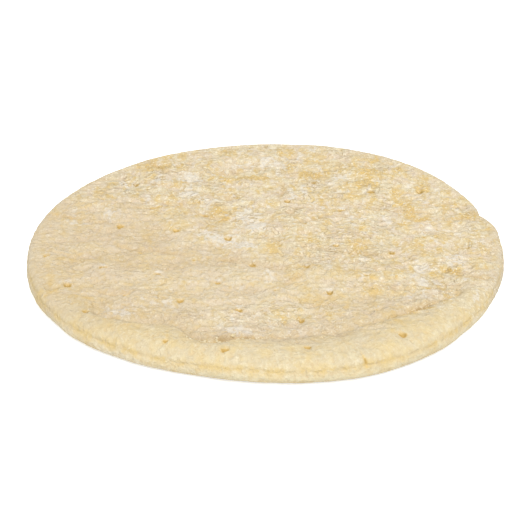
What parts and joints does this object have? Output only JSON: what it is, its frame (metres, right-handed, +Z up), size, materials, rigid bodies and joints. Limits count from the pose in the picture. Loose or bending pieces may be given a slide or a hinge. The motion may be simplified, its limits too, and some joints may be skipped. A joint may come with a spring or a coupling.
{
  "type": "pizza crust",
  "caption": "Round par-baked pizza base with a raised rim, a seam round its side, docking pits and wrinkles in its top and a flat underside.",
  "frame": {"origin": "middle of the flat underside", "axes": "+Z up out of the top face, -Y towards the side with the deep inner crease, +X towards the side with the edge notch"},
  "size_m": [0.3049, 0.3033, 0.0178],
  "materials": {
    "baked_dough": null
  },
  "bodies": {
    "root": {"pizza_crust": "baked_dough"}
  },
  "joints": []
}
